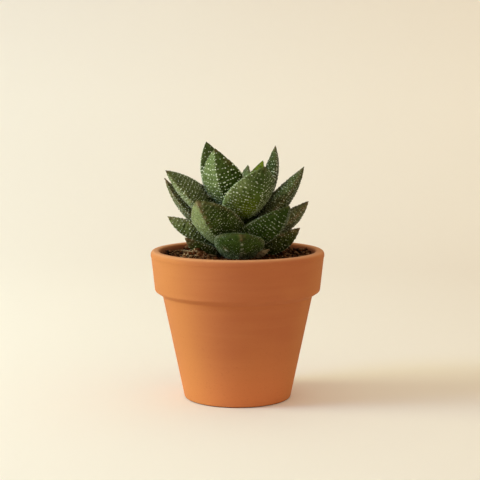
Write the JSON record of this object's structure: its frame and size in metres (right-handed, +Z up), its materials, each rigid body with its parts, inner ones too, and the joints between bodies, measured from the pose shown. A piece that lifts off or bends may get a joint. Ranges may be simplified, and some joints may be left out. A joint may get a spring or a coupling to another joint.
{
  "type": "potted gasteria",
  "caption": "Small succulent with thick, keeled, white-warted leaves in a spiral rosette, growing in gritty soil in a plain tapered terracotta pot with a deep collar.",
  "frame": {"origin": "on the pot's axis, in the plane of the surface that the pot stands on", "axes": "+Z up along the pot's axis, -Y towards the side that the picture shows, +X to its right"},
  "size_m": [0.105, 0.105, 0.1557],
  "materials": {
    "terracotta": "matte",
    "potting_mix": "matte",
    "stem_skin": "matte",
    "leaf_skin": "satin",
    "dry_leaf": "matte"
  },
  "bodies": {
    "root": {"pot": "terracotta", "soil": "potting_mix", "stem": "stem_skin", "leaf_crown_left": "leaf_skin", "leaf_crown_front": "leaf_skin", "leaf_crown_back": "leaf_skin", "leaf_crown_right": "leaf_skin", "leaf_heart_left": "leaf_skin", "leaf_heart_right": "leaf_skin", "leaf_upper_back": "leaf_skin", "leaf_upper_left": "leaf_skin", "leaf_upper_right": "leaf_skin", "leaf_middle_back": "leaf_skin", "leaf_middle_back_left": "leaf_skin", "leaf_middle_back_right": "leaf_skin", "leaf_middle_front_left": "leaf_skin", "leaf_middle_front_right": "leaf_skin", "leaf_middle_right": "leaf_skin", "leaf_lower_back": "leaf_skin", "leaf_lower_back_left": "leaf_skin", "leaf_lower_back_right": "leaf_skin", "leaf_lower_front": "leaf_skin", "leaf_lower_left": "leaf_skin", "leaf_lower_right": "leaf_skin", "leaf_bottom_left": "leaf_skin", "leaf_dried_front": "dry_leaf", "leaf_dried_left": "dry_leaf"}
  },
  "joints": []
}
